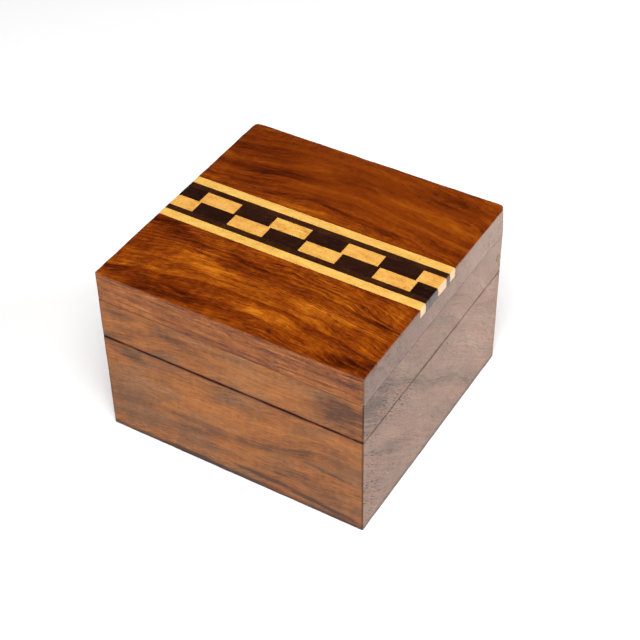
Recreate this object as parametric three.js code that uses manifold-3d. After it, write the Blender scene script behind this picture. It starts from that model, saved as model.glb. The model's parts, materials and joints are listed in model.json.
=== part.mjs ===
// Small square wooden keepsake box with a chequered inlay band let into its lid.
// Millimetres. +Z is up, the front wall faces -Y, +X is to the right.
// The origin is the centre of the underside.
//
// The box was glued up as a closed block and then sawn into base and lid, so the walls of
// both halves line up. The back wall was not sawn through: its middle stands up inside the
// lid as a tongue, and the lid turns on two pins driven through its sides into that tongue.

import * as THREE from 'three';
import { mergeVertices } from 'three/addons/utils/BufferGeometryUtils.js';
import Module from 'manifold-3d';

const wasm = await Module();
wasm.setup();

// Outside of the closed box
const WIDTH = 80;
const DEPTH = 78;
const HEIGHT = 55;
const FRONT_CORNER_RADIUS = 0.4;
const BACK_CORNER_RADIUS = 1.1;
const ARRIS = 0.3;                  // rounding of the top and bottom edges

// Boards
const WALL = 7;
const BASE_RIM = 32.7;              // height of the base's rim
const SEAM = 0.5;                   // saw kerf left between base and lid
const LID_BOARD = 9.2;
const BOTTOM_BOARD = 4;
const REBATE = 3;                   // how far the bottom board reaches into the walls
const GLUE = 0.05;                  // glue line between two boards

// Pivot of the lid
const PIN_FROM_BACK = 3;
const PIN_ABOVE_LID_RIM = 5.8;
const PIN_RADIUS = 0.9;
const PIN_HEAD_RADIUS = 1.05;
const PIN_HEAD_THICKNESS = 0.7;
const PIN_HEAD_CROWN = 0.1;         // how far the hammered head stands proud
const PIN_POINT = 0.6;              // blunt point and crown, as parts of the radius
const PIN_CROWN_SHOULDER = 0.7;
const PIN_LENGTH = 15;
const PIN_CLEARANCE = 0.05;
const PIN_SEAT_CLEARANCE = 0.1;     // round the head, in its countersink
const TONGUE_END_GAP = 0.3;         // between the tongue's ends and the lid's sides
const TONGUE_TOP_GAP = 0.4;         // between the tongue and the lid's top board

// Inlay band across the lid, from its back edge to its front edge
const BAND_FROM_BACK = 30.1;
const INLAY_DEPTH = 2.8;
const PALE_STRING = 2.9;
const DARK_STRING = 2;
const BLOCK_ROW = 4.65;
const BLOCK_LENGTH = 11.1;
const BLOCKS_PER_ROW = 8;
const BACK_ROW_START = 6.8;         // length of the cut block at the left end
const FRONT_ROW_START = 7.6;

// Derived places
const INNER_X = WIDTH / 2 - WALL;
const INNER_Y = DEPTH / 2 - WALL;
const LID_RIM = BASE_RIM + SEAM;
const LID_BOARD_UNDERSIDE = HEIGHT - LID_BOARD;
const PIN_Y = DEPTH / 2 - PIN_FROM_BACK;
const PIN_Z = LID_RIM + PIN_ABOVE_LID_RIM;
const TONGUE_TOP = LID_BOARD_UNDERSIDE - TONGUE_TOP_GAP;
const BAND_WIDTH = 2 * (PALE_STRING + DARK_STRING + BLOCK_ROW);
const BAND_BACK_Y = DEPTH / 2 - BAND_FROM_BACK;
const ROUND_SEGMENTS = 24;
const OVERSIZE = 2;                 // how far a cutting tool runs past the wood

const wood = (color) => new THREE.MeshStandardMaterial({ color, roughness: 0.45, metalness: 0 });
const lidWood = wood(0x9a4e1c);
const wallWood = wood(0x9c6a48);
const paleInlay = wood(0xf0bc6a);
const darkInlay = wood(0x38170f);
const brass = new THREE.MeshStandardMaterial({ color: 0xb08d4a, roughness: 0.35, metalness: 1 });

// A closed three.js geometry as a solid that can be cut and joined.
function solid(geometry) {
  geometry.deleteAttribute('normal');
  geometry.deleteAttribute('uv');
  const merged = mergeVertices(geometry);
  return new wasm.Manifold(new wasm.Mesh({
    numProp: 3,
    vertProperties: new Float32Array(merged.attributes.position.array),
    triVerts: new Uint32Array(merged.index.array),
  }));
}

function mesh(name, body, material) {
  const { vertProperties, triVerts } = body.getMesh();
  const geometry = new THREE.BufferGeometry();
  geometry.setAttribute('position', new THREE.BufferAttribute(vertProperties, 3));
  geometry.setIndex(new THREE.BufferAttribute(triVerts, 1));
  geometry.computeVertexNormals();
  const result = new THREE.Mesh(geometry, material);
  result.name = name;
  return result;
}

function block([x0, y0, z0], [x1, y1, z1]) {
  const geometry = new THREE.BoxGeometry(x1 - x0, y1 - y0, z1 - z0);
  geometry.translate((x0 + x1) / 2, (y0 + y1) / 2, (z0 + z1) / 2);
  return solid(geometry);
}

function prism(points, z0, z1) {
  const geometry = new THREE.ExtrudeGeometry(new THREE.Shape(points), {
    depth: z1 - z0,
    bevelEnabled: false,
  });
  geometry.translate(0, 0, z0);
  return solid(geometry);
}

// A round bar about the pivot axis, from x0 to x1.
function pivotBar(radius, x0, x1) {
  const geometry = new THREE.CylinderGeometry(radius, radius, x1 - x0, ROUND_SEGMENTS);
  geometry.rotateZ(Math.PI / 2);
  geometry.translate((x0 + x1) / 2, PIN_Y, PIN_Z);
  return solid(geometry);
}

// The outside of the whole closed box, with every edge eased.
function envelope() {
  const x = WIDTH / 2;
  const y = DEPTH / 2;
  const outline = new THREE.Shape();
  const corner = (cx, cy, radius, quarter) => {
    const start = quarter * Math.PI / 2;
    outline.absarc(cx, cy, radius, start, start + Math.PI / 2);
  };
  corner(x - BACK_CORNER_RADIUS, y - BACK_CORNER_RADIUS, BACK_CORNER_RADIUS, 0);
  corner(-x + BACK_CORNER_RADIUS, y - BACK_CORNER_RADIUS, BACK_CORNER_RADIUS, 1);
  corner(-x + FRONT_CORNER_RADIUS, -y + FRONT_CORNER_RADIUS, FRONT_CORNER_RADIUS, 2);
  corner(x - FRONT_CORNER_RADIUS, -y + FRONT_CORNER_RADIUS, FRONT_CORNER_RADIUS, 3);
  const geometry = new THREE.ExtrudeGeometry(outline, {
    depth: HEIGHT - 2 * ARRIS,
    curveSegments: 5,
    bevelThickness: ARRIS,
    bevelSize: ARRIS,
    bevelOffset: -ARRIS,
    bevelSegments: 2,
  });
  geometry.translate(0, 0, ARRIS);
  return solid(geometry);
}

const outside = envelope();
const eased = (body) => body.intersect(outside);

// Plan of one mitred wall. The outer face looks along (nx, ny) and is reach away from the
// centre; half is half the outer length.
function mitredPlan(nx, ny, reach, half) {
  const at = (along, out) => new THREE.Vector2(-ny * along + nx * out, nx * along + ny * out);
  const outer = half - GLUE;
  const inner = outer - WALL;
  return [at(-outer, reach), at(outer, reach), at(inner, reach - WALL), at(-inner, reach - WALL)];
}

const PLANS = {
  front: mitredPlan(0, -1, DEPTH / 2, WIDTH / 2),
  right: mitredPlan(1, 0, WIDTH / 2, DEPTH / 2),
  back: mitredPlan(0, 1, DEPTH / 2, WIDTH / 2),
  left: mitredPlan(-1, 0, WIDTH / 2, DEPTH / 2),
};

// Base ------------------------------------------------------------------------------------

function bottomBoard(inset) {
  const x = INNER_X + REBATE - inset;
  const y = INNER_Y + REBATE - inset;
  const below = inset > 0 ? 0 : -OVERSIZE;
  return block([-x, -y, below], [x, y, BOTTOM_BOARD - inset]);
}

function baseWall(side) {
  return eased(prism(PLANS[side], 0, BASE_RIM)).subtract(bottomBoard(0));
}

// The uncut middle of the back wall. Its top back edge is rounded about the pivot, so that
// the lid's top board can swing over it.
function tongue() {
  const x = INNER_X - TONGUE_END_GAP;
  const radius = TONGUE_TOP - PIN_Z;
  const bar = block([-x, INNER_Y, BASE_RIM - OVERSIZE], [x, DEPTH / 2, TONGUE_TOP]);
  const cornerBlock = block([-WIDTH, PIN_Y, PIN_Z], [WIDTH, DEPTH, HEIGHT]);
  return bar.subtract(cornerBlock.subtract(pivotBar(radius, -WIDTH, WIDTH)));
}

function pinHole(side) {
  return pivotBar(PIN_RADIUS + PIN_CLEARANCE, ...span(side, PIN_LENGTH + GLUE, WIDTH / 2 + 1));
}

// A stretch along the pivot, measured inwards from the outer face on one side.
function span(side, length, outer = WIDTH / 2) {
  const inner = WIDTH / 2 - length;
  return side > 0 ? [inner, outer] : [-outer, -inner];
}

function baseBackWall() {
  return baseWall('back').add(tongue()).subtract(pinHole(1)).subtract(pinHole(-1));
}

// Lid -------------------------------------------------------------------------------------

// The part of the lid's heel that would strike the base's rim as the lid swings.
function heelCut() {
  const radius = PIN_ABOVE_LID_RIM;
  const cornerBlock = block([-WIDTH, PIN_Y, 0], [WIDTH, DEPTH, PIN_Z]);
  return cornerBlock.subtract(pivotBar(radius, -WIDTH - 1, WIDTH + 1));
}

function pinSeat(side) {
  const depth = PIN_HEAD_THICKNESS + PIN_SEAT_CLEARANCE;
  const seat = pivotBar(PIN_HEAD_RADIUS + PIN_SEAT_CLEARANCE, ...span(side, depth, WIDTH / 2 + 1));
  return seat.add(pinHole(side));
}

function lidWall(side) {
  const wall = eased(prism(PLANS[side], LID_RIM, LID_BOARD_UNDERSIDE - GLUE));
  return wall.subtract(heelCut()).subtract(pinSeat(1)).subtract(pinSeat(-1));
}

// The end of the back wall that was sawn off with the lid, still glued to the lid's side.
function lidBackCorner(side) {
  const keep = block(
    [side > 0 ? INNER_X : -WIDTH, 0, 0],
    [side > 0 ? WIDTH : -INNER_X, DEPTH, HEIGHT],
  );
  return lidWall('back').intersect(keep);
}

function lidBoard() {
  const groove = block(
    [-WIDTH, BAND_BACK_Y - BAND_WIDTH - GLUE, HEIGHT - INLAY_DEPTH - GLUE],
    [WIDTH, BAND_BACK_Y + GLUE, HEIGHT + OVERSIZE],
  );
  const board = block(
    [-WIDTH / 2, -DEPTH / 2, LID_BOARD_UNDERSIDE],
    [WIDTH / 2, DEPTH / 2, HEIGHT],
  );
  return eased(board).subtract(groove);
}

// One piece of inlay, between two places along the band and two places across it.
function inlay(x0, x1, backY, width) {
  const gap = GLUE / 2;
  return eased(block(
    [x0 + gap, backY - width + gap, HEIGHT - INLAY_DEPTH],
    [x1 - gap, backY - gap, HEIGHT],
  ));
}

function stringing(name, backY, width, material) {
  return mesh(name, inlay(-WIDTH / 2 - OVERSIZE, WIDTH / 2 + OVERSIZE, backY, width), material);
}

function blockRow(name, backY, start, materials) {
  const joint = (i) => -WIDTH / 2 + start + (i - 1) * BLOCK_LENGTH;
  const pieces = [];
  for (let i = 0; i < BLOCKS_PER_ROW; i += 1) {
    const x0 = i === 0 ? -WIDTH / 2 - OVERSIZE : joint(i);
    const x1 = i === BLOCKS_PER_ROW - 1 ? WIDTH / 2 + OVERSIZE : joint(i + 1);
    pieces.push(mesh(`${name}_${i + 1}`, inlay(x0, x1, backY, BLOCK_ROW), materials[i % 2]));
  }
  return pieces;
}

function inlayBand() {
  const pieces = [];
  let y = BAND_BACK_Y;
  pieces.push(stringing('inlay_pale_string_back', y, PALE_STRING, paleInlay));
  y -= PALE_STRING;
  pieces.push(stringing('inlay_dark_string_back', y, DARK_STRING, darkInlay));
  y -= DARK_STRING;
  pieces.push(...blockRow('inlay_block_back', y, BACK_ROW_START, [darkInlay, paleInlay]));
  y -= BLOCK_ROW;
  pieces.push(...blockRow('inlay_block_front', y, FRONT_ROW_START, [paleInlay, darkInlay]));
  y -= BLOCK_ROW;
  pieces.push(stringing('inlay_dark_string_front', y, DARK_STRING, darkInlay));
  y -= DARK_STRING;
  pieces.push(stringing('inlay_pale_string_front', y, PALE_STRING, paleInlay));
  return pieces;
}

// Pivot pins ------------------------------------------------------------------------------

// A short nail: straight shank, flat point, crowned head level with the side of the box.
function pivotPin(side) {
  const headBase = PIN_LENGTH - PIN_HEAD_THICKNESS;
  const profile = [
    [0, 0],
    [PIN_RADIUS * PIN_POINT, 0],
    [PIN_RADIUS, PIN_RADIUS],
    [PIN_RADIUS, headBase],
    [PIN_HEAD_RADIUS, headBase],
    [PIN_HEAD_RADIUS, PIN_LENGTH - PIN_HEAD_CROWN],
    [PIN_HEAD_RADIUS * PIN_CROWN_SHOULDER, PIN_LENGTH + PIN_HEAD_CROWN * PIN_POINT],
    [0, PIN_LENGTH + PIN_HEAD_CROWN],
  ];
  const outline = profile.map(([r, along]) => new THREE.Vector2(r, along));
  const geometry = new THREE.LatheGeometry(outline, ROUND_SEGMENTS);
  geometry.rotateZ(-side * Math.PI / 2);
  geometry.translate(side * (WIDTH / 2 - PIN_LENGTH), PIN_Y, PIN_Z);
  return solid(geometry);
}

const base = new THREE.Group();
base.add(
  mesh('base_front_wall', baseWall('front'), wallWood),
  mesh('base_back_wall', baseBackWall(), wallWood),
  mesh('base_left_wall', baseWall('left'), wallWood),
  mesh('base_right_wall', baseWall('right'), wallWood),
  mesh('bottom_board', bottomBoard(GLUE), wallWood),
  mesh('pivot_pin_left', pivotPin(-1), brass),
  mesh('pivot_pin_right', pivotPin(1), brass),
);

const lid = new THREE.Group();
lid.add(
  mesh('lid_top_board', lidBoard(), lidWood),
  mesh('lid_front_wall', lidWall('front'), wallWood),
  mesh('lid_left_wall', lidWall('left'), wallWood),
  mesh('lid_right_wall', lidWall('right'), wallWood),
  mesh('lid_back_corner_left', lidBackCorner(-1), wallWood),
  mesh('lid_back_corner_right', lidBackCorner(1), wallWood),
  ...inlayBand(),
);

const box = new THREE.Group();
box.add(base, lid);

export default box;
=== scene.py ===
"""Looks of the inlaid wooden box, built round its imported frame. Metres, +Z up."""

import json
import math
from collections import namedtuple
from dataclasses import dataclass

import bmesh
import bpy
from mathutils import Matrix, Vector, noise


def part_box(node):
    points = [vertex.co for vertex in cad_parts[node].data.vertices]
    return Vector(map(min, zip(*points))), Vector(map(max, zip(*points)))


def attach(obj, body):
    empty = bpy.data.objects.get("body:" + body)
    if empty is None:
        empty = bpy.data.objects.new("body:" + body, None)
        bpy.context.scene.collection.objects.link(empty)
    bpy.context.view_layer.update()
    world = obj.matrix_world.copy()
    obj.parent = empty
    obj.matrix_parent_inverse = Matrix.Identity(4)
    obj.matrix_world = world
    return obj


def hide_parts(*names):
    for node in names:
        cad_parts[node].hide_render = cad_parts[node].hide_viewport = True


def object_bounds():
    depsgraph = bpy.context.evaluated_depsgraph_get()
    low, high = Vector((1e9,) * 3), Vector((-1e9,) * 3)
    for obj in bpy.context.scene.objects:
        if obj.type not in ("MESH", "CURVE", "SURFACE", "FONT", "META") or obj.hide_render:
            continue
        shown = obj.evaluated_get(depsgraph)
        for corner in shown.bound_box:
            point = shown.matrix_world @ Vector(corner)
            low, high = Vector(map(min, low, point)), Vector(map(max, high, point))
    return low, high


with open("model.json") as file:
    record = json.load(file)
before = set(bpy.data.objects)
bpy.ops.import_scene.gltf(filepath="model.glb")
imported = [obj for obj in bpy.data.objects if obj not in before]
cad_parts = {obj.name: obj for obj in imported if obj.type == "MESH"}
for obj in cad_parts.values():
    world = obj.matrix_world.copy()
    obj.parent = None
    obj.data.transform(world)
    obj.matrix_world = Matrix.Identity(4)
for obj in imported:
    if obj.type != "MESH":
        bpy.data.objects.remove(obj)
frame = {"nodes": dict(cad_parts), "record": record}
cad_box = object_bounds()

MM = 0.001
TABLE = cad_box[0][2]
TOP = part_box("lid_top_board")
LID_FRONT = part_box("lid_front_wall")
BASE_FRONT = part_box("base_front_wall")
BASE_RIM = BASE_FRONT[1][2]
LID_RIM = LID_FRONT[0][2]
BOARD_JOINT = TOP[0][2]
HALF_WIDTH = TOP[1][0]
HALF_DEPTH = TOP[1][1]
HEIGHT = TOP[1][2]
WALL = BASE_FRONT[1][1] - BASE_FRONT[0][1]
BACK_CORNER = 2.4 * MM              # radius of the lid's back corners, at the top


# Camera ----------------------------------------------------------------------------------

AZIMUTH = math.radians(31.34)
ELEVATION = math.radians(41.75)
ROLL = math.radians(-0.94)
RANGE = 429.2 * MM
AIM = Vector((3.51 * MM, 1.24 * MM, HEIGHT / 2 - 0.85 * MM))
LENS = 87.58
SENSOR = 36
NEAREST = 0.01


def make_camera():
    data = bpy.data.cameras.new("view")
    data.lens = LENS
    data.sensor_width = SENSOR
    data.clip_start = NEAREST
    camera = bpy.data.objects.new("view", data)
    bpy.context.scene.collection.objects.link(camera)
    flat = math.cos(ELEVATION)
    back = Vector((
        math.sin(AZIMUTH) * flat,
        -math.cos(AZIMUTH) * flat,
        math.sin(ELEVATION),
    ))
    level = Vector((0, 0, 1)).cross(back).normalized()
    upward = back.cross(level)
    right = level * math.cos(ROLL) + upward * math.sin(ROLL)
    up = upward * math.cos(ROLL) - level * math.sin(ROLL)
    rotation = Matrix((right, up, back)).transposed().to_4x4()
    camera.matrix_world = Matrix.Translation(AIM + back * RANGE) @ rotation
    bpy.context.scene.camera = camera


# Materials -------------------------------------------------------------------------------

class Graph:
    """Short names for building one material's node tree."""

    def __init__(self, name):
        self.material = bpy.data.materials.new(name)
        self.material.use_nodes = True
        self.tree = self.material.node_tree
        self.tree.nodes.clear()
        self.output = self.tree.nodes.new("ShaderNodeOutputMaterial")
        self.shader = self.tree.nodes.new("ShaderNodeBsdfPrincipled")
        self.tree.links.new(self.shader.outputs["BSDF"], self.output.inputs["Surface"])

    def feed(self, socket, value):
        if isinstance(value, bpy.types.NodeSocket):
            self.tree.links.new(value, socket)
        elif socket.type == "RGBA" and len(value) == 3:
            socket.default_value = (*value, 1)
        else:
            socket.default_value = value

    def math(self, operation, *values, clamp=False):
        node = self.tree.nodes.new("ShaderNodeMath")
        node.operation = operation
        node.use_clamp = clamp
        for socket, value in zip(node.inputs, values):
            self.feed(socket, value)
        return node.outputs[0]

    def add(self, *values):
        total = values[0]
        for value in values[1:]:
            total = self.math("ADD", total, value)
        return total

    def times(self, a, b):
        return self.math("MULTIPLY", a, b)

    def about_zero(self, value, amount):
        """A value from 0 to 1 turned into one from -amount / 2 to amount / 2."""
        return self.math("MULTIPLY_ADD", value, amount, -amount / 2)

    def smooth(self, value, start, end):
        node = self.tree.nodes.new("ShaderNodeMapRange")
        node.interpolation_type = "SMOOTHSTEP"
        self.feed(node.inputs["Value"], value)
        node.inputs["From Min"].default_value = start
        node.inputs["From Max"].default_value = end
        return node.outputs["Result"]

    def fade(self, value, start, end):
        """1 up to start, falling smoothly to 0 at end."""
        return self.math("SUBTRACT", 1, self.smooth(value, start, end))

    def vector(self, x, y, z):
        node = self.tree.nodes.new("ShaderNodeCombineXYZ")
        for socket, value in zip(node.inputs, (x, y, z)):
            self.feed(socket, value)
        return node.outputs[0]

    def place(self):
        """The point's X, Y and Z in millimetres, in the box's own frame."""
        where = self.tree.nodes.new("ShaderNodeTexCoord")
        scale = self.tree.nodes.new("ShaderNodeVectorMath")
        scale.operation = "SCALE"
        self.tree.links.new(where.outputs["Object"], scale.inputs[0])
        scale.inputs["Scale"].default_value = 1 / MM
        split = self.tree.nodes.new("ShaderNodeSeparateXYZ")
        self.tree.links.new(scale.outputs[0], split.inputs[0])
        return split.outputs[0], split.outputs[1], split.outputs[2]

    def noise(self, x, y, z, sizes, detail=2.0, rough=0.5, twist=0.0):
        """3-D noise from 0 to 1 whose lumps measure sizes, in millimetres, along x, y and z."""
        scaled = [self.times(v, 1 / size) for v, size in zip((x, y, z), sizes)]
        node = self.tree.nodes.new("ShaderNodeTexNoise")
        self.tree.links.new(self.vector(*scaled), node.inputs["Vector"])
        node.inputs["Scale"].default_value = 1
        node.inputs["Detail"].default_value = detail
        node.inputs["Roughness"].default_value = rough
        node.inputs["Distortion"].default_value = twist
        return node.outputs["Fac"]

    def layers(self, value, size, detail=2.0, rough=0.5):
        """1-D noise from 0 to 1, for growth rings of about this size."""
        node = self.tree.nodes.new("ShaderNodeTexNoise")
        node.noise_dimensions = "1D"
        self.tree.links.new(self.times(value, 1 / size), node.inputs["W"])
        node.inputs["Scale"].default_value = 1
        node.inputs["Detail"].default_value = detail
        node.inputs["Roughness"].default_value = rough
        return node.outputs["Fac"]

    def patch(self, along, across, centre, half_size, angle=0.0):
        """1 at the centre of a soft leaning ellipse on the board's face, 0 outside it."""
        mapping = self.tree.nodes.new("ShaderNodeMapping")
        mapping.vector_type = "TEXTURE"
        self.tree.links.new(self.vector(along, across, 0.0), mapping.inputs["Vector"])
        mapping.inputs["Location"].default_value = (*centre, 0)
        mapping.inputs["Rotation"].default_value = (0, 0, math.radians(angle))
        mapping.inputs["Scale"].default_value = (*half_size, 1)
        ball = self.tree.nodes.new("ShaderNodeTexGradient")
        ball.gradient_type = "SPHERICAL"
        self.tree.links.new(mapping.outputs[0], ball.inputs[0])
        return self.smooth(ball.outputs["Fac"], 0, 0.8)

    def ramp(self, value, stops):
        node = self.tree.nodes.new("ShaderNodeValToRGB")
        self.feed(node.inputs["Fac"], value)
        elements = node.color_ramp.elements
        while len(elements) < len(stops):
            elements.new(0.5)
        for element, (at, colour) in zip(elements, stops):
            element.position = at
            element.color = (*colour, 1)
        return node.outputs["Color"]

    def mix(self, factor, a, b, blend="MIX"):
        node = self.tree.nodes.new("ShaderNodeMix")
        node.data_type = "RGBA"
        node.blend_type = blend
        self.feed(node.inputs[0], factor)
        self.feed(node.inputs[6], a)
        self.feed(node.inputs[7], b)
        return node.outputs[2]

    def darken(self, colour, factor, tint):
        return self.mix(factor, colour, tint, "MULTIPLY")

    def surface(self, colour, roughness, height, depth, ior=1.45):
        """Ends the material. depth is how deep, in metres, height 0 lies below height 1."""
        bump = self.tree.nodes.new("ShaderNodeBump")
        bump.inputs["Distance"].default_value = depth
        self.tree.links.new(height, bump.inputs["Height"])
        self.tree.links.new(bump.outputs[0], self.shader.inputs["Normal"])
        self.feed(self.shader.inputs["Base Color"], colour)
        self.feed(self.shader.inputs["Roughness"], roughness)
        self.shader.inputs["IOR"].default_value = ior
        return self.material


def edge_distance(g, x, y, z):
    """Millimetres from the nearest outer edge of the closed box, over its faces."""
    a = g.math("SUBTRACT", HALF_WIDTH / MM, g.math("ABSOLUTE", x))
    b = g.math("SUBTRACT", HALF_DEPTH / MM, g.math("ABSOLUTE", y))
    c = g.math("MINIMUM", z, g.math("SUBTRACT", HEIGHT / MM, z))
    least = g.math("MINIMUM", a, b)
    most = g.math("MAXIMUM", a, b)
    return g.math("MAXIMUM", least, g.math("MINIMUM", most, c))


def at_skin(g, value, reach, inner=0.35, outer=0.15):
    """1 where value has come to the outer face at reach, 0 from inner millimetres short."""
    return g.smooth(value, reach / MM - inner, reach / MM - outer)


def inside(g, x, y, z):
    """1 on the raw faces of the hollow, 0 on the polished ones."""
    slack = 0.06
    above_table = 1
    reach_x = HALF_WIDTH / MM - WALL / MM + slack
    reach_y = HALF_DEPTH / MM - WALL / MM + slack
    within_x = g.math("LESS_THAN", g.math("ABSOLUTE", x), reach_x)
    within_y = g.math("LESS_THAN", g.math("ABSOLUTE", y), reach_y)
    above = g.math("GREATER_THAN", z, above_table + slack)
    below = g.math("LESS_THAN", z, BOARD_JOINT / MM + slack)
    return g.times(g.times(within_x, within_y), g.times(above, below))


def seam_shade(g, x, y, z):
    """About 1 in the outer mouth of the saw cut between lid and base: painted shade in the gap,
    uneven along it."""
    off = g.math("ABSOLUTE", g.math("SUBTRACT", z, (BASE_RIM + LID_RIM) / 2 / MM))
    a = g.math("SUBTRACT", HALF_WIDTH / MM, g.math("ABSOLUTE", x))
    b = g.math("SUBTRACT", HALF_DEPTH / MM, g.math("ABSOLUTE", y))
    level = g.fade(off, 0.3, 0.9)
    mouth = g.fade(g.math("MINIMUM", a, b), 0.4, 1.6)
    patchiness = g.math("MULTIPLY_ADD", g.noise(x, y, z, SEAM_SHADE_PATCHES, 3, 0.6), 2.6, -0.4)
    return g.times(g.times(level, mouth), patchiness)


def glue_line(g, z):
    """1 on the line where the lid's top board is glued to its walls."""
    off = g.math("ABSOLUTE", g.math("SUBTRACT", z, BOARD_JOINT / MM))
    return g.fade(off, 0.05, 0.6)


def painted_sheen(g, point, face, colour):
    """Painted sheen: a dull pale reflection painted onto the polish of the right side, strongest
    at its upper back corner.
    """
    back = g.smooth(point[1], -8, HALF_DEPTH / MM)
    up = g.smooth(point[2], BASE_RIM / MM - 8, BOARD_JOINT / MM)
    amount = g.times(g.times(back, up), 0.34)
    return g.mix(g.times(amount, face), colour, SHEEN_TINT)


# Which of X, Y and Z runs along the grain, across it and through the board.
GRAIN_ALONG = {"X_lying": (0, 1, 2), "X_standing": (0, 2, 1), "Y_standing": (1, 2, 0)}

# Sizes of the wood's features, in millimetres along the grain, across it and through.
WANDER = (40, 14, 14)
WOBBLE = (8, 3, 3)
FIBRE = (4.2, 0.34, 0.34)
THREAD = (1.5, 0.15, 0.15)
CLOUD = (15, 6, 9)
RIPPLE = (1.8, 5, 5)
VEIN = (8, 0.5, 0.8)
BREAK = (9, 0.9, 2)
STREAK = (14, 0.8, 5)
SHORT_PORE = (1.6, 0.19, 0.19)
PORE_CROWD = (16, 3, 8)
SATIN = (9, 5, 5)
SEAM_SHADE_PATCHES = (9, 9, 9)
FINE_RING = 0.8
DASH_THROUGH = 0.5
VEIL_THROUGH = 12

RAW_WOOD = (0.36, 0.19, 0.09)
DUST = (0.42, 0.20, 0.11)
# Colour of the painted sheen on the right side.
SHEEN_TINT = (0.335, 0.243, 0.185)
PORE_TINT = (0.20, 0.12, 0.09)
# Painted shade along the outer edges.
EDGE_SHADE_TINT = (0.35, 0.2, 0.14)
# Painted shade at the foot.
FOOT_SHADE_TINT = (0.3, 0.22, 0.2)
# Painted shade in the saw cut.
SEAM_SHADE_TINT = (0.22, 0.07, 0.04)
GLUE_TINT = (0.45, 0.38, 0.34)


@dataclass
class Board:
    """How one board looks. Sizes are in millimetres. A patch is (centre, half size, angle,
    amount) on the board's face, in millimetres and degrees."""
    name: str
    lies: str                           # one of GRAIN_ALONG
    palette: list
    patches: list = ()                  # paler or darker figure
    calm: list = ()                     # quieter grain
    pore_patches: list = ()             # more or fewer pores
    lean: float = 0.0                   # slope of the fibres
    bend: float = 0.0                   # their curve to either side of peak
    peak: float = 0.0
    shift: float = 0.0                  # takes another cut of the same wood
    restless: float = 1.0               # strength of the small waves in the fibres
    bands: float = 0.9                  # strength of the growth rings
    ring: float = 3.6                   # their usual width
    grainy: float = 1.0                 # strength of the fibres
    dashes: float = 0.4                 # strength of the long pores
    dash_size: tuple = (1.6, 0.36)      # along and across the grain
    flecked: float = 0.0                # strength of the pores filled with dust
    grey: list = None                   # palette of the veil, clouds that follow the grain
    veil_size: tuple = (20, 7)          # along and across the grain
    veil_edges: tuple = (0.42, 0.68)    # noise values where it starts and is full
    veil_amount: float = 0.8
    veil_detail: float = 3
    veil_twist: float = 0.4
    sides: list = None                  # palette of a lying board's edges
    ends: list = None                   # palette of its right end
    unseen: list = None                 # palette of a wall's rim and inner face; the outer face keeps palette, with painted sheen
    mouth: float = 0.9                  # strength of the painted shade in the saw cut
    arris: float = 0.5                  # strength of the painted shade along the outer edges
    gloss: float = 0.36                 # roughness of the polish
    ior: float = 1.45
    relief: float = 0.02                # depth of the open pores


Grain = namedtuple("Grain", "along across through level wander wobble")


def follow_grain(g, board, point):
    """The point's place along, across and through the board, and a level that stays the
    same along every fibre."""
    along, across, through = (point[i] for i in GRAIN_ALONG[board.lies])
    far = g.math("SUBTRACT", along, board.peak)
    wander = g.about_zero(g.noise(along, across, through, WANDER, 2), 9)
    wobble = g.about_zero(g.noise(along, across, through, WOBBLE, 3), 1.6 * board.restless)
    level = g.add(
        across,
        g.times(along, board.lean),
        g.times(g.times(far, far), board.bend),
        g.times(through, 0.45),
        wander,
        wobble,
        board.shift,
    )
    return Grain(along, across, through, level, wander, wobble)


def grain_noise(g, grain, sizes, *settings):
    return g.noise(grain.along, grain.level, grain.through, sizes, *settings)


def face_noise(g, grain, sizes, *settings):
    return g.noise(grain.along, grain.across, grain.through, sizes, *settings)


def figure_tone(g, board, grain, drift, fibre, ripple):
    """How pale the wood is: about 0 for the darkest and 1 for the palest."""
    rings = g.layers(grain.level, board.ring, 3, 0.62)
    fine_rings = g.layers(grain.level, FINE_RING, 2, 0.6)
    thread = grain_noise(g, grain, THREAD, 1)
    cloud = grain_noise(g, grain, CLOUD, 3, 0.6, 0.5)
    veins = g.smooth(grain_noise(g, grain, VEIN, 2, 0.5), 0.56, 0.72)
    figure = g.add(
        g.about_zero(rings, board.bands),
        g.about_zero(fine_rings, board.bands * 0.4),
        g.about_zero(fibre, 0.85 * board.grainy),
        g.about_zero(thread, 0.5 * board.grainy),
        g.about_zero(cloud, 0.7),
        g.about_zero(ripple, 0.3 * board.grainy),
        g.times(veins, -0.16 * board.grainy),
    )
    quiet = 1.0
    for *place, amount in board.calm:
        quiet = g.math("MULTIPLY_ADD", g.patch(*drift, *place), -amount, quiet, clamp=True)
    tone = g.math("MULTIPLY_ADD", figure, quiet, 0.5)
    broken = g.math("MULTIPLY_ADD", grain_noise(g, grain, BREAK, 3), 3.6, -0.8)
    for *place, amount in board.patches:
        spot = g.times(g.patch(*drift, *place), broken)
        tone = g.math("MULTIPLY_ADD", spot, amount, tone)
    return tone


def pore_field(g, board, grain, drift):
    """Open pores, drawn out along the grain and crowded in some places, and the pale ones
    that are filled with dust."""
    pores = g.smooth(grain_noise(g, grain, SHORT_PORE, 1, 0.4), 0.60, 0.70)
    crowd = g.smooth(grain_noise(g, grain, PORE_CROWD, 2), 0.40, 0.60)
    for *place, amount in board.pore_patches:
        crowd = g.math("MULTIPLY_ADD", g.patch(*drift, *place), amount, crowd)
    crowd = g.math("MULTIPLY_ADD", crowd, 0.8, 0.12, clamp=True)
    sizes = (*board.dash_size, DASH_THROUGH)
    long_ones = g.smooth(grain_noise(g, grain, sizes, 1), 0.60, 0.67)
    pores = g.math("MAXIMUM", g.times(pores, 0.6), g.times(long_ones, board.dashes))
    filled = g.noise(g.add(grain.along, 5.7), g.add(grain.level, 3.3), grain.through, sizes, 1)
    dusty = g.times(g.smooth(filled, 0.60, 0.69), board.dashes)
    return g.times(pores, crowd), g.times(dusty, crowd)


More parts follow.
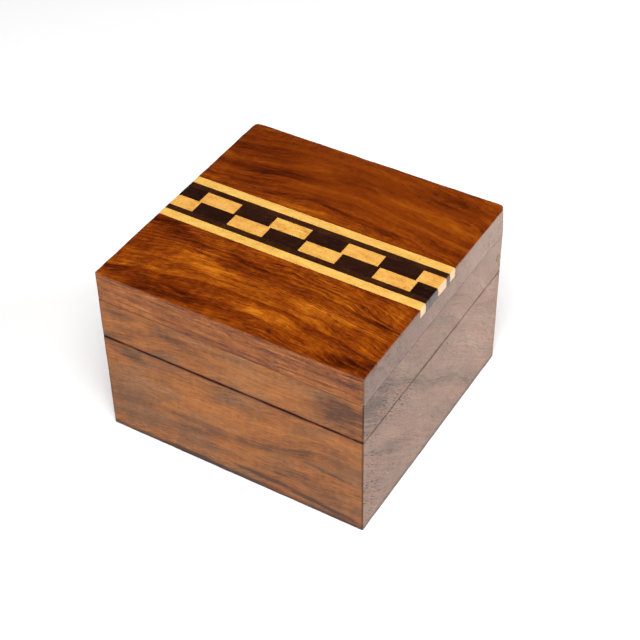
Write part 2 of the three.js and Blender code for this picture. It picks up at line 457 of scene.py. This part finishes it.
def face_colour(g, board, grain, tone):
    colour = g.ramp(tone, board.palette)
    if not board.grey:
        return colour
    sizes = (*board.veil_size, VEIL_THROUGH)
    veil = grain_noise(g, grain, sizes, board.veil_detail, 0.55, board.veil_twist)
    veil = g.times(g.smooth(veil, *board.veil_edges), board.veil_amount)
    return g.mix(veil, colour, g.ramp(tone, board.grey))


def edge_faces(g, board, point, grain, tone, colour):
    """Gives a lying board's edges a palette of their own, and its right end another, paler
    towards the back and with painted sheen.
    """
    level = g.add(g.times(grain.through, 1.2), g.times(grain.wobble, 0.3),
                  g.times(grain.wander, 0.1))
    streaks = g.noise(grain.along, level, grain.level, STREAK, 3, 0.65)
    below = g.math("SUBTRACT", 1, at_skin(g, point[2], HEIGHT))
    round_corner = at_skin(g, point[1], HALF_DEPTH, BACK_CORNER / MM, 0.8)
    end = at_skin(g, g.math("MULTIPLY_ADD", round_corner, 1.4, grain.along), HALF_WIDTH)
    cross_cut = at_skin(g, g.math("ABSOLUTE", grain.along), HALF_WIDTH, 0.6, 0.2)
    streak = g.times(g.about_zero(streaks, 2.1), g.math("MULTIPLY_ADD", cross_cut, -0.65, 1))
    colour = g.mix(below, colour, g.ramp(g.add(tone, streak), board.sides))
    # The right end made paler towards the back: painted sheen.
    sheen_toward_back = g.about_zero(g.smooth(point[1], -HALF_DEPTH / MM, HALF_DEPTH / MM), 0.26)
    end_tone = g.add(g.math("MULTIPLY_ADD", tone, 0.34, 0.25), sheen_toward_back)
    end_face = g.times(end, below)
    colour = g.mix(end_face, colour, g.ramp(end_tone, board.ends))
    # Painted sheen on the right end.
    return painted_sheen(g, point, end_face, colour)


def shade_and_glue_line(g, board, point, colour):
    """Painted shade along the outer edges, at the foot and in the saw cut between lid and base,
    and the lid's dark glue line.
    """
    # Darker along the outer edges: painted shade of their rounding.
    edge_wear_and_shade = g.fade(edge_distance(g, *point), 0.1, 0.75)
    colour = g.darken(colour, g.times(edge_wear_and_shade, board.arris), EDGE_SHADE_TINT)
    # Darker towards the bottom: painted shade where the box meets the table.
    colour = g.darken(colour, g.fade(point[2], 0.2, 2.6), FOOT_SHADE_TINT)
    # Painted shade in the saw cut between lid and base.
    colour = g.darken(colour, g.times(seam_shade(g, *point), board.mouth), SEAM_SHADE_TINT)
    return g.darken(colour, g.times(glue_line(g, point[2]), 0.3), GLUE_TINT)


def wood(board):
    """A solid hardwood board. The grain is followed in 3-D, so that faces, edges and end
    grain belong together."""
    g = Graph(board.name)
    point = g.place()
    grain = follow_grain(g, board, point)
    drift = (
        g.add(grain.along, g.times(grain.wobble, 2)),
        g.add(grain.across, g.times(grain.wander, 0.4), g.times(grain.wobble, 0.7)),
    )
    fibre = grain_noise(g, grain, FIBRE, 3, 0.66)
    ripple = face_noise(g, grain, RIPPLE, 2, 0.5, 0.4)
    tone = figure_tone(g, board, grain, drift, fibre, ripple)
    pores, dusty = pore_field(g, board, grain, drift)
    colour = face_colour(g, board, grain, tone)
    # A wall with an unseen palette: its outer face keeps the paler, greyer palette and gets
    # painted sheen, its rim and inner face take the unseen palette.
    if board.unseen:
        face = at_skin(g, grain.through, HALF_WIDTH, 0.5, 0.2)
        colour = painted_sheen(g, point, face, g.mix(face, g.ramp(tone, board.unseen), colour))
        pores = g.times(pores, g.math("MULTIPLY_ADD", face, 0.7, 0.3))
        dusty = g.times(dusty, face)
    if board.sides:
        colour = edge_faces(g, board, point, grain, tone, colour)
    raw = inside(g, *point)
    colour = g.mix(g.times(raw, 0.35), colour, RAW_WOOD)
    colour = g.mix(g.times(dusty, board.flecked), colour, DUST)
    colour = g.darken(colour, g.times(pores, 0.85), PORE_TINT)
    colour = shade_and_glue_line(g, board, point, colour)

    satin = g.about_zero(face_noise(g, grain, SATIN, 3), 0.15)
    roughness = g.add(board.gloss, satin, g.times(pores, 0.2), g.times(raw, 0.25))
    height = g.add(1.0, g.times(pores, -0.8), g.about_zero(fibre, 0.5), g.about_zero(ripple, 0.3))
    return g.surface(colour, roughness, height, board.relief * MM, board.ior)


BROWN_RED = [
    (0.05, (0.026, 0.0036, 0.0003)),
    (0.28, (0.092, 0.0120, 0.0006)),
    (0.50, (0.190, 0.0310, 0.0014)),
    (0.70, (0.320, 0.0720, 0.0030)),
    (0.95, (0.520, 0.1520, 0.0090)),
]
WALNUT = [
    (0.05, (0.075, 0.0230, 0.0060)),
    (0.28, (0.160, 0.0490, 0.0085)),
    (0.50, (0.252, 0.0800, 0.0130)),
    (0.75, (0.345, 0.1160, 0.0190)),
    (0.95, (0.440, 0.1680, 0.0400)),
]
EDGE_WALNUT = [
    (0.05, (0.060, 0.0120, 0.0013)),
    (0.28, (0.132, 0.0300, 0.0024)),
    (0.50, (0.208, 0.0550, 0.0056)),
    (0.75, (0.290, 0.0880, 0.0130)),
    (0.95, (0.390, 0.1350, 0.0300)),
]
GREY_WALNUT = [
    (0.05, (0.055, 0.0210, 0.0090)),
    (0.35, (0.120, 0.0500, 0.0190)),
    (0.65, (0.200, 0.0900, 0.0360)),
    (0.95, (0.290, 0.1400, 0.0600)),
]
# Walnut made paler and greyer as painted sheen of the bright surroundings, for the right side's
# outer face and the lid board's right end.
SHEEN_GREY_WALNUT = [
    (0.05, (0.068, 0.0340, 0.0230)),
    (0.30, (0.145, 0.0780, 0.0510)),
    (0.50, (0.200, 0.1120, 0.0760)),
    (0.75, (0.252, 0.1450, 0.0980)),
    (0.95, (0.330, 0.1950, 0.1380)),
]

# The two hues that lie in bands on the right side's outer face: the greyed walnut turned to red
# and to green. The bands follow the grain; the greyness is painted sheen.
SHEEN_PINK_WALNUT = [(at, (r * 1.04, g * 0.985, b * 0.96)) for at, (r, g, b) in SHEEN_GREY_WALNUT]
SHEEN_GREEN_WALNUT = [(at, (r * 0.92, g * 0.985, b * 0.99)) for at, (r, g, b) in SHEEN_GREY_WALNUT]

# Patches of the boards, each (centre, half size, angle, amount), as Board says.
LID_FIGURE = [
    ((-22, 21), (22, 3.5), 14, -0.16),
    ((4, 28), (22, 3.5), 4, -0.12),
    ((28, 33), (18, 4), -2, -0.16),
    ((22, 25), (22, 4.5), -3, 0.12),
    ((-14, 14), (16, 1.6), 12, -0.24),
    ((10, 13.6), (26, 1.3), -5, -0.24),
    ((-10, 11), (12, 1.6), 3, 0.22),
    ((-30, 26), (24, 20), 0, -0.10),
    ((-32, -14), (16, 4), -10, -0.24),
    ((-4, -16.5), (14, 1.0), -6, -0.22),
    ((32, -20), (12, 1.2), -6, -0.30),
    ((-16, -22), (16, 5), -14, 0.22),
    ((-4, -34), (14, 3), 4, -0.12),
    ((8, -31), (12, 4), 2, 0.26),
    ((22, -24), (20, 3), -4, 0.20),
    ((-20, -35), (16, 4), 4, -0.30),
    ((32, -36), (12, 3), 10, -0.24),
    ((4, -24), (40, 14), 0, 0.07),
]
LID_PORES = [
    ((0, -19), (20, 7), -8, 0.9),
    ((26, -22), (20, 6), -5, 0.8),
    ((0, 22), (50, 12), 0, -0.8),
]
LID_CALM = [
    ((4, 27), (80, 28), 0, 0.70),
    ((0, -25), (70, 22), 0, 0.22),
]
FRONT_FIGURE = [
    ((-34, 43), (8, 2), 0, -0.20),
    ((-16, 41.5), (12, 3), -8, -0.26),
    ((-34, 36), (10, 2.4), 12, -0.28),
    ((10, 40), (26, 7), 0, 0.10),
    ((35, 40), (12, 9), 0, -0.42),
    ((-32, 29.5), (10, 3), -14, -0.24),
    ((-14, 22), (26, 8), 6, 0.10),
    ((-8, 12), (34, 2.6), 13, -0.16),
    ((20, 20), (26, 5), 16, -0.18),
    ((30, 16.5), (12, 0.9), -4, -0.30),
    ((15, 8), (3.2, 1.6), 10, -0.34),
    ((22, 3.4), (34, 1.3), -3, -0.60),
    # Darker band along the front's bottom edge: painted shade.
    ((-16, 1.0), (40, 1.6), 0, -0.45),
    ((24, 9), (24, 8), 0, -0.14),
]
RIGHT_FIGURE = [
    ((-34, 42), (16, 16), 0, -0.34),
    ((-30, 12), (18, 18), 0, -0.02),
    # Paler towards the back: painted sheen.
    ((32, 20), (30, 34), 0, 0.20),
    ((-12, 31), (26, 3.6), -38, -0.12),
    ((-24, 18), (24, 3.0), -36, -0.22),
    ((-26, 25), (18, 2.6), -36, 0.16),
    ((14, 26), (24, 4), -40, 0.14),
    ((12, 12), (26, 3.4), -40, -0.12),
]
RIGHT_PORES = [
    ((-24, 36), (20, 9), -38, 1.5),
    ((-35, 14), (8, 18), 0, 1.1),
    ((4, 20), (60, 50), 0, -0.7),
]
FRONT_PORES = [((0, 26), (70, 50), 0, -0.5)]


# Colours of the band's end grain on the right side: partly the end grain's own colour, partly
# painted sheen, which makes them paler and greyer.
PALE_END_AND_SHEEN = (0.62, 0.41, 0.28)
DARK_END_AND_SHEEN = (0.080, 0.066, 0.062)


def block_chance(g, x, y):
    """A value from 0 to 1 that is the same all over one block of the band."""
    first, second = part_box("inlay_block_back_2"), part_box("inlay_block_back_3")
    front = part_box("inlay_block_front_2")
    start, joint = first[0][0] / MM, first[0][1] / MM
    pitch = (second[0][0] - first[0][0]) / MM
    row_width = (first[0][1] - front[0][1]) / MM
    number = g.math("FLOOR", g.times(g.math("SUBTRACT", x, start), 1 / pitch))
    rank = g.math("FLOOR", g.times(g.math("SUBTRACT", y, joint), 1 / row_width))
    chance = g.tree.nodes.new("ShaderNodeTexWhiteNoise")
    chance.noise_dimensions = "2D"
    g.tree.links.new(g.vector(number, rank, 0.0), chance.inputs["Vector"])
    return chance.outputs["Value"]


def inlay_wood(name, palette, block_tint, tint_amount, pore_depth, gloss, ior=1.45,
               end_and_sheen_colour=PALE_END_AND_SHEEN):
    """Fine-grained wood of the band. Each block along a row has a tint of its own."""
    g = Graph(name)
    x, y, z = g.place()
    own = block_chance(g, x, y)
    moved = g.add(y, g.times(own, 37.0))
    grain = g.add(moved, g.about_zero(g.noise(x, moved, z, (22, 6, 6), 2), 1.2))
    fibre = g.noise(x, grain, z, (4, 0.25, 0.25), 3, 0.66)
    cloud = g.noise(x, grain, z, (4, 1.6, 3), 3, 0.6)
    fleck = g.noise(x, grain, z, (0.6, 0.3, 0.3), 2, 0.7)
    tone = g.add(
        0.5,
        g.about_zero(fibre, 0.8),
        g.about_zero(cloud, 1.0),
        g.about_zero(fleck, 0.9),
    )
    colour = g.ramp(tone, palette)
    colour = g.mix(g.times(own, tint_amount), colour, block_tint)
    # The band's ends on the right side: end grain with painted sheen.
    end = at_skin(g, g.math("ABSOLUTE", x), HALF_WIDTH)
    colour = g.mix(g.times(end, g.math("MULTIPLY_ADD", fleck, 0.6, 0.5)), colour, end_and_sheen_colour)
    pores = g.smooth(g.noise(x, grain, z, (0.8, 0.16, 0.16), 1, 0.4), 0.64, 0.76)
    colour = g.darken(colour, g.times(pores, pore_depth), (0.45, 0.22, 0.12))
    roughness = g.add(gloss, g.about_zero(cloud, 0.1), g.times(pores, 0.15))
    height = g.add(1.0, g.times(pores, -0.6), g.about_zero(fibre, 0.25))
    return g.surface(colour, roughness, height, 0.03 * MM, ior)


LEMON_WOOD = [
    (0.1, (0.56, 0.260, 0.040)),
    (0.5, (0.74, 0.430, 0.088)),
    (0.9, (0.82, 0.540, 0.150)),
]
SATIN_WOOD = [
    (0.1, (0.38, 0.130, 0.022)),
    (0.4, (0.67, 0.330, 0.058)),
    (0.7, (0.77, 0.450, 0.100)),
    (0.95, (0.82, 0.540, 0.180)),
]
PALISANDER = [
    (0.15, (0.012, 0.0034, 0.0010)),
    (0.5, (0.026, 0.0070, 0.0018)),
    (0.9, (0.075, 0.0220, 0.0060)),
]
EBONY = [
    (0.15, (0.005, 0.0014, 0.0007)),
    (0.55, (0.013, 0.0030, 0.0012)),
    (0.9, (0.060, 0.0150, 0.0050)),
]


def brass():
    g = Graph("dull_brass")
    x, y, z = g.place()
    stain = g.noise(x, y, z, (0.6, 0.6, 0.6), 4, 0.6)
    scratch = g.noise(x, y, z, (0.5, 0.06, 1.2), 2)
    colour = g.ramp(stain, [
        (0.3, (0.07, 0.045, 0.02)),
        (0.5, (0.24, 0.16, 0.08)),
        (0.75, (0.42, 0.31, 0.17)),
    ])
    roughness = g.add(0.34, g.about_zero(stain, 0.3), g.about_zero(scratch, 0.15))
    material = g.surface(colour, roughness, g.add(stain, g.times(scratch, 0.4)), 0.03 * MM)
    g.shader.inputs["Metallic"].default_value = 1
    return material


WALL_POLISH = {"gloss": 0.44, "ior": 1.33}

BOARDS = {
    "lid_board": Board(
        "lid_board_wood", "X_lying", BROWN_RED, LID_FIGURE, LID_CALM, LID_PORES,
        bend=0.0030, peak=2, shift=3, dashes=1.0, dash_size=(3.2, 0.36),
        sides=EDGE_WALNUT, ends=SHEEN_GREY_WALNUT, arris=0.25, gloss=0.26, ior=1.32, relief=0.01,
    ),
    "front": Board(
        "front_wall_wood", "X_standing", WALNUT, FRONT_FIGURE, pore_patches=FRONT_PORES,
        lean=-0.12, bands=0.5, grey=GREY_WALNUT, arris=0.7, **WALL_POLISH,
    ),
    "back": Board(
        "back_wall_wood", "X_standing", WALNUT,
        lean=0.08, shift=41, bands=0.7, grey=GREY_WALNUT, **WALL_POLISH,
    ),
    "right": Board(
        "right_wall_wood", "Y_standing", SHEEN_PINK_WALNUT, RIGHT_FIGURE, pore_patches=RIGHT_PORES,
        lean=0.84, bend=0.001, peak=-10, shift=17, restless=0.45, bands=0.5, ring=7,
        dashes=1.2, dash_size=(1.4, 0.40), flecked=0.2,
        grey=SHEEN_GREEN_WALNUT, veil_size=(40, 4.6), veil_edges=(0.32, 0.68), veil_amount=1.0,
        veil_detail=2, veil_twist=0.0, unseen=WALNUT, mouth=0.5, arris=0.4, gloss=0.46,
    ),
    "left": Board(
        "left_wall_wood", "Y_standing", WALNUT,
        lean=-0.2, shift=73, bands=0.7, grey=GREY_WALNUT, **WALL_POLISH,
    ),
    "bottom": Board(
        "bottom_board_wood", "X_lying", WALNUT, shift=120, bands=0.6, gloss=0.6, ior=1.33,
    ),
}


def make_materials():
    materials = {kind: wood(board) for kind, board in BOARDS.items()}
    materials["pale_string"] = inlay_wood(
        "lemon_wood", LEMON_WOOD, block_tint=(0.72, 0.36, 0.10), tint_amount=0.3,
        pore_depth=0.4, gloss=0.36,
    )
    materials["pale_block"] = inlay_wood(
        "satin_wood", SATIN_WOOD, block_tint=(0.70, 0.31, 0.075), tint_amount=0.5,
        pore_depth=0.9, gloss=0.36,
    )
    materials["dark_string"] = inlay_wood(
        "palisander", PALISANDER, block_tint=(0.05, 0.014, 0.004), tint_amount=0.3,
        pore_depth=0.3, gloss=0.3, ior=1.35, end_and_sheen_colour=DARK_END_AND_SHEEN,
    )
    materials["dark_block"] = inlay_wood(
        "ebony_wood", EBONY, block_tint=(0.032, 0.009, 0.004), tint_amount=0.4,
        pore_depth=0.3, gloss=0.3, ior=1.35, end_and_sheen_colour=DARK_END_AND_SHEEN,
    )
    materials["brass"] = brass()
    return materials


# Pieces ----------------------------------------------------------------------------------

GRID = 1.6 * MM                     # mesh of the walls
BOARD_GRID = 1.1 * MM
INLAY_GRID = 1.2 * MM
RIM_EASE = 0.2 * MM
GLUE_EASE = 0.04 * MM
SHARP = math.radians(38)
SIDE_RIM_RISE = 0.13 * MM           # how far the side rims reach into the saw cut
RAGGED = 0.07 * MM                  # unevenness of a sawn rim
LONG_WAVE = 14 * MM
NICK = 4 * MM
EDGE_WEAR_REACH = 1.2 * MM
WAVE = 0.03 * MM                    # depth of the long waves
INLAY_WAVE = 0.02 * MM
WEAR = 0.1 * MM                     # depth of the wear along outer edges


def sharp_edges(bm, wanted):
    found = []
    for edge in bm.edges:
        if len(edge.link_faces) == 2 and edge.calc_face_angle(0) > SHARP:
            if wanted((edge.verts[0].co + edge.verts[1].co) / 2):
                found.append(edge)
    return found


def at_rim(point):
    """True for an edge of either rim, where lid and base part."""
    return BASE_RIM - 0.01 * MM < point.z < LID_RIM + 0.01 * MM


def ease(bm, wanted, width, segments):
    edges = sharp_edges(bm, wanted)
    if edges:
        bmesh.ops.bevel(bm, geom=edges, offset=width, segments=segments, profile=0.5,
                        affect="EDGES", clamp_overlap=True)


def cut_grid(bm, step):
    """Cuts the flat faces into a regular grid, which the small unevenness needs."""
    for axis in range(3):
        values = [v.co[axis] for v in bm.verts]
        low, high = min(values), max(values)
        count = int((high - low) / step)
        for i in range(1, count):
            place, normal = Vector(), Vector()
            place[axis] = low + (high - low) * i / count
            normal[axis] = 1
            geometry = bm.verts[:] + bm.edges[:] + bm.faces[:]
            bmesh.ops.bisect_plane(bm, geom=geometry, dist=1e-6, plane_co=place,
                                   plane_no=normal)


def near_outer_edge(point):
    """0 away from the closed box's outer edges, 1 on them."""
    gaps = sorted((
        HALF_WIDTH - abs(point.x),
        HALF_DEPTH - abs(point.y),
        min(point.z, HEIGHT - point.z),
    ))
    return max(0, 1 - gaps[1] / EDGE_WEAR_REACH)


def uneven(bm, wave, rim_rise):
    """Hand-worked unevenness: long shallow waves, rubbed-down outer edges and a ragged saw cut.
    rim_rise is how far the piece's rim reaches into the saw cut."""
    bm.normal_update()
    moves = []
    for vert in bm.verts:
        p = vert.co
        long_wave = noise.noise(p / LONG_WAVE)
        nicks = noise.noise(p / NICK + Vector((5, 9, 2)))
        edge_wear_and_shade = near_outer_edge(p) * WEAR * (0.6 + nicks)
        move = vert.normal * (wave * long_wave - max(0, edge_wear_and_shade))
        if at_rim(p) and abs(vert.normal.z) > 0.9:
            ragged = (RAGGED + 0.5 * rim_rise) * noise.noise(p / NICK)
            move.z += math.copysign(rim_rise + ragged, vert.normal.z)
        moves.append(move)
    for vert, move in zip(bm.verts, moves):
        vert.co += move


def soften_back_corners(bm):
    """Rounds the lid's two back corners in plan, most of all at the top."""
    bottom = BOARD_JOINT + 1 * MM
    for vert in bm.verts:
        rise = min(1, max(0, (vert.co.z - bottom) / (HEIGHT - bottom)))
        radius = BACK_CORNER * (0.4 + 0.6 * rise)
        side = abs(vert.co.x) - (HALF_WIDTH - radius)
        back = vert.co.y - (HALF_DEPTH - radius)
        reach = math.hypot(side, back)
        if side > 0 and back > 0 and reach > radius:
            x = HALF_WIDTH - radius + side * radius / reach
            vert.co.x = math.copysign(x, vert.co.x)
            vert.co.y = HALF_DEPTH - radius + back * radius / reach


def worked(node, body, material, step=GRID, wave=WAVE, shape=None, rim_rise=0.0):
    """A finely meshed piece that stands for a plain CAD one."""
    bm = bmesh.new()
    bm.from_mesh(frame["nodes"][node].data)
    bmesh.ops.remove_doubles(bm, verts=bm.verts, dist=0.001 * MM)
    bmesh.ops.dissolve_limit(bm, angle_limit=math.radians(0.5), verts=bm.verts,
                             edges=bm.edges)
    ease(bm, at_rim, RIM_EASE, 3)
    ease(bm, lambda point: not at_rim(point), GLUE_EASE, 1)
    cut_grid(bm, step)
    if shape:
        shape(bm)
    uneven(bm, wave, rim_rise)
    bmesh.ops.triangulate(bm, faces=[f for f in bm.faces if len(f.verts) > 4])
    mesh = bpy.data.meshes.new(node + "_worked")
    bm.to_mesh(mesh)
    bm.free()
    mesh.polygons.foreach_set("use_smooth", [True] * len(mesh.polygons))
    mesh.set_sharp_from_angle(angle=math.radians(50))
    mesh.materials.append(material)
    piece = bpy.data.objects.new(node + "_worked", mesh)
    bpy.context.scene.collection.objects.link(piece)
    smooth = piece.modifiers.new("even_shading", "WEIGHTED_NORMAL")
    smooth.keep_sharp = True
    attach(piece, body)
    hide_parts(node)
    return piece


WALL_MATERIALS = {
    "base_front_wall": "front",
    "base_back_wall": "back",
    "base_left_wall": "left",
    "base_right_wall": "right",
    "lid_front_wall": "front",
    "lid_left_wall": "left",
    "lid_right_wall": "right",
    "lid_back_corner_left": "back",
    "lid_back_corner_right": "back",
    "bottom_board": "bottom",
}


def make_walls(materials):
    for node, kind in WALL_MATERIALS.items():
        body = "lid" if node.startswith("lid") else "base"
        rim_rise = SIDE_RIM_RISE if kind in ("left", "right") else 0
        worked(node, body, materials[kind], rim_rise=rim_rise)


def make_lid_board(materials):
    worked("lid_top_board", "lid", materials["lid_board"],
           step=BOARD_GRID, shape=soften_back_corners)


def make_inlay(materials):
    slots = {s["node"]: s["material_slot"] for s in frame["record"]["subparts"]}
    for node, slot in slots.items():
        if slot in ("pale_inlay", "dark_inlay"):
            kind = slot.removesuffix("inlay") + ("string" if "string" in node else "block")
            worked(node, "lid", materials[kind], step=INLAY_GRID, wave=INLAY_WAVE)


def finish_pins(materials):
    for node in ("pivot_pin_left", "pivot_pin_right"):
        pin = frame["nodes"][node]
        pin.data.materials.clear()
        pin.data.materials.append(materials["brass"])


# Studio ----------------------------------------------------------------------------------

FLOOR_RADIUS = 0.6
FLOOR_WHITE = (0.97, 0.97, 0.97, 1)
FLOOR_GAP = 0.02 * MM
GLOW_TOP = math.radians(6)          # the horizon's glow is full up to here
GLOW_END = math.radians(16)         # and has faded by here
DARK_SKY = 0.015

# Name: place, target, size and power.
LIGHTS = {
    "overhead": ((0.25, -0.4, 0.8), (0, 0, 0), 0.6, 9.2),
    "right_back": ((0.8, 0.5, 0.5), (0.05, 0.02, 0), 0.5, 7.2),
    "front_left": ((-0.55, -0.75, 0.6), (0, 0, 0.02), 0.5, 3.8),
}


def area_light(name, place, target, size, power):
    data = bpy.data.lights.new(name, "AREA")
    data.shape = "DISK"
    data.size = size
    data.energy = power
    light = bpy.data.objects.new(name, data)
    bpy.context.scene.collection.objects.link(light)
    light.location = place
    aim = Vector(target) - Vector(place)
    light.rotation_euler = aim.to_track_quat("-Z", "Y").to_euler()


def make_floor():
    """A white round table top; beyond its edge the world is just as white."""
    bm = bmesh.new()
    bmesh.ops.create_circle(bm, cap_ends=True, radius=FLOOR_RADIUS, segments=96)
    mesh = bpy.data.meshes.new("floor")
    bm.to_mesh(mesh)
    bm.free()
    floor = bpy.data.objects.new("floor", mesh)
    bpy.context.scene.collection.objects.link(floor)
    floor.location.z = TABLE - FLOOR_GAP
    material = bpy.data.materials.new("white_table")
    material.use_nodes = True
    shader = material.node_tree.nodes["Principled BSDF"]
    shader.inputs["Base Color"].default_value = FLOOR_WHITE
    shader.inputs["Roughness"].default_value = 0.9
    shader.inputs["Specular IOR Level"].default_value = 0
    mesh.materials.append(material)


def make_world():
    """Bright near the horizon, dark overhead, so that the polished lid keeps its colour."""
    world = bpy.data.worlds.new("studio")
    bpy.context.scene.world = world
    world.use_nodes = True
    tree = world.node_tree
    where = tree.nodes.new("ShaderNodeTexCoord")
    split = tree.nodes.new("ShaderNodeSeparateXYZ")
    fade = tree.nodes.new("ShaderNodeMapRange")
    fade.interpolation_type = "SMOOTHSTEP"
    fade.inputs["From Min"].default_value = math.sin(GLOW_TOP)
    fade.inputs["From Max"].default_value = math.sin(GLOW_END)
    fade.inputs["To Min"].default_value = 1.0
    fade.inputs["To Max"].default_value = DARK_SKY
    tree.links.new(where.outputs["Generated"], split.inputs[0])
    tree.links.new(split.outputs[2], fade.inputs["Value"])
    background = tree.nodes["Background"]
    background.inputs["Color"].default_value = (1, 1, 1, 1)
    tree.links.new(fade.outputs["Result"], background.inputs["Strength"])


def make_studio():
    make_floor()
    make_world()
    for name, light in LIGHTS.items():
        area_light(name, *light)
    bpy.context.scene.view_settings.view_transform = "Standard"


make_camera()
materials = make_materials()
make_walls(materials)
make_lid_board(materials)
make_inlay(materials)
finish_pins(materials)
make_studio()
